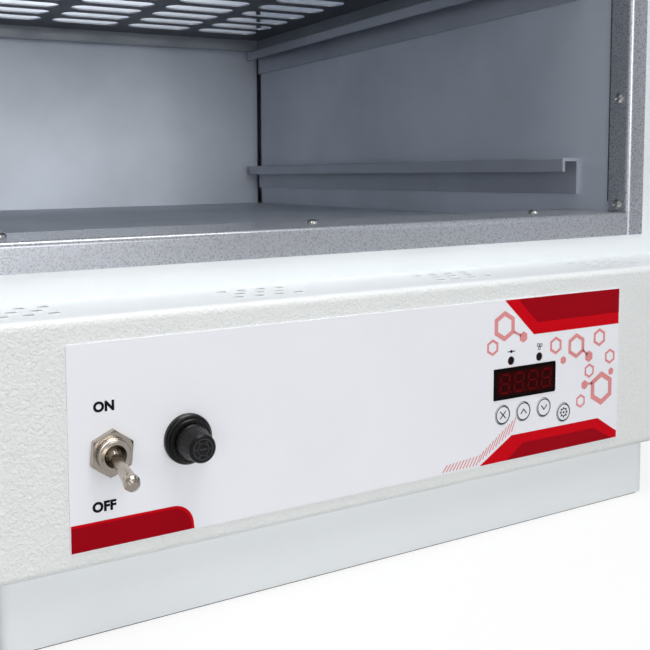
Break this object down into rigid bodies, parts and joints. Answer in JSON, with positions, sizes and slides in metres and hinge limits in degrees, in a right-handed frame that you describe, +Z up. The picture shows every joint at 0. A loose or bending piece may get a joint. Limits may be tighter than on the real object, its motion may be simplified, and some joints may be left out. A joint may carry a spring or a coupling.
{
  "type": "forced-air drying oven",
  "caption": "Bench drying oven with a hinged insulated door, sliding perforated shelves, rear fan and heater, roof vent, and a control strip with toggle, fuse, display and keys.",
  "frame": {"origin": "centre of the plinth's footprint, on the surface that the oven stands on", "axes": "-Y towards the front (the door side), +X to the right as seen from the front, +Z up"},
  "size_m": [0.6756, 1.0627, 0.74],
  "materials": {
    "white_paint": "smooth satin white enamel",
    "textured_white": "white powder coat with a coarse orange-peel texture",
    "grey_sheet": "satin grey enamel",
    "label_print": "satin printed film, light lilac-white",
    "hammer_silver": "silver hammertone enamel, glossy",
    "screw_steel": "dull zinc plate",
    "chamber_sheet": "matt grey sheet",
    "rail_steel": "satin galvanised steel",
    "shelf_metal": "satin zinc-plated steel",
    "mineral_wool": "coarse matt wool",
    "heater_steel": "dark oxidised sheath",
    "motor_metal": "die-cast satin",
    "impeller_metal": "satin",
    "damper_knob": "satin",
    "nickel": "bright nickel plate",
    "black_plastic": "satin black",
    "fuse_glass": "clear glass with plated ends",
    "circuit_board": "green circuit board",
    "red_window": "dark red smoked window",
    "led_lens": "unlit tinted lens",
    "key_film": "satin printed film",
    "hinge_steel": "satin zinc plate",
    "silicone_red": "red-brown silicone",
    "black_rubber": "matt black",
    "handle_plastic": "satin black"
  },
  "bodies": {
    "cabinet": {"plinth": "white_paint", "foot_strip": "black_rubber", "base_pan": "white_paint", "outer_side_left": "white_paint", "outer_side_right": "white_paint", "outer_top": "white_paint", "rear_cover": "grey_sheet", "control_box": "textured_white", "label_panel": "label_print", "sill_angle": "hammer_silver", "head_angle": "hammer_silver", "jamb_left": "hammer_silver", "jamb_right": "hammer_silver", "cabinet_screws": "screw_steel", "chamber_floor": "chamber_sheet", "chamber_ceiling": "chamber_sheet", "chamber_side_left": "chamber_sheet", "chamber_side_right": "chamber_sheet", "duct_walls": "chamber_sheet", "chamber_back": "chamber_sheet", "plenum_back": "chamber_sheet", "rails_left": "rail_steel", "rails_right": "rail_steel", "insulation": "mineral_wool", "heater_element": "heater_steel", "fan_motor": "motor_metal", "fan_guard": "rail_steel", "temperature_probe": "rail_steel", "exhaust_tube": "rail_steel", "toggle_body": "nickel", "toggle_nut": "nickel", "fuse_body": "black_plastic", "fuse_nut": "black_plastic", "controller_case": "black_plastic", "controller_board": "circuit_board", "display_window": "red_window", "indicator_leds": "led_lens", "power_inlet": "black_plastic", "hinge_leaves_cabinet": "hinge_steel", "hinge_pins": "hinge_steel"},
    "door": {"hinge_leaves_door": "hinge_steel", "door_skin": "white_paint", "door_panel": "chamber_sheet", "door_insulation": "mineral_wool", "door_gasket": "silicone_red", "latch_bush": "nickel"},
    "latch": {"latch_handle": "handle_plastic"},
    "shelf_lower": {"shelf_lower": "shelf_metal"},
    "shelf_upper": {"shelf_upper": "shelf_metal"},
    "toggle": {"toggle_lever": "nickel"},
    "fuse_carrier": {"fuse_carrier": "black_plastic", "fuse_link": "fuse_glass"},
    "fuse_cap": {"fuse_cap": "black_plastic"},
    "key_1": {"key_1": "key_film"},
    "key_2": {"key_2": "key_film"},
    "key_3": {"key_3": "key_film"},
    "key_4": {"key_4": "key_film"},
    "fan": {"fan_shaft": "rail_steel", "fan_impeller": "impeller_metal"},
    "damper": {"exhaust_damper": "damper_knob"}
  },
  "joints": [
    {"name": "door_hinge", "type": "hinge", "parent": "cabinet", "child": "door", "pos_m": [0.251, -0.238, 0], "axis": [0, 0, 1], "range_deg": [-105, 65]},
    {"name": "latch_turn", "type": "hinge", "parent": "door", "child": "latch", "pos_m": [0.40511, -0.6895, 0.4], "axis": [0.9659, 0.2588, 0], "range_deg": [0, 90]},
    {"name": "shelf_lower_slide", "type": "slide", "parent": "cabinet", "child": "shelf_lower", "axis": [0, -1, 0], "range_m": [0, 0.3]},
    {"name": "shelf_upper_slide", "type": "slide", "parent": "cabinet", "child": "shelf_upper", "axis": [0, -1, 0], "range_m": [0, 0.3]},
    {"name": "toggle_throw", "type": "hinge", "parent": "cabinet", "child": "toggle", "pos_m": [-0.1243, -0.272, 0.0692], "axis": [-1, 0, 0], "range_deg": [0, 23]},
    {"name": "fuse_carrier_pull", "type": "slide", "parent": "cabinet", "child": "fuse_carrier", "axis": [0, -1, 0], "range_m": [0, 0.045]},
    {"name": "fuse_cap_turn", "type": "hinge", "parent": "fuse_carrier", "child": "fuse_cap", "pos_m": [-0.0947, -0.285, 0.0697], "axis": [0, 1, 0], "range_deg": [0, 90]},
    {"name": "key_1_press", "type": "slide", "parent": "cabinet", "child": "key_1", "axis": [0, 1, 0], "range_m": [0, 0.0004], "stiffness_N_per_m": 1000, "springref_m": -0.001},
    {"name": "key_2_press", "type": "slide", "parent": "cabinet", "child": "key_2", "axis": [0, 1, 0], "range_m": [0, 0.0004], "stiffness_N_per_m": 1000, "springref_m": -0.001},
    {"name": "key_3_press", "type": "slide", "parent": "cabinet", "child": "key_3", "axis": [0, 1, 0], "range_m": [0, 0.0004], "stiffness_N_per_m": 1000, "springref_m": -0.001},
    {"name": "key_4_press", "type": "slide", "parent": "cabinet", "child": "key_4", "axis": [0, 1, 0], "range_m": [0, 0.0004], "stiffness_N_per_m": 1000, "springref_m": -0.001},
    {"name": "fan_spin", "type": "hinge", "parent": "cabinet", "child": "fan", "pos_m": [0, 0.2, 0.4], "axis": [0, 1, 0], "continuous": true},
    {"name": "damper_turn", "type": "hinge", "parent": "cabinet", "child": "damper", "pos_m": [0.12, 0.06, 0.716], "axis": [0, 1, 0], "range_deg": [0, 90]}
  ]
}
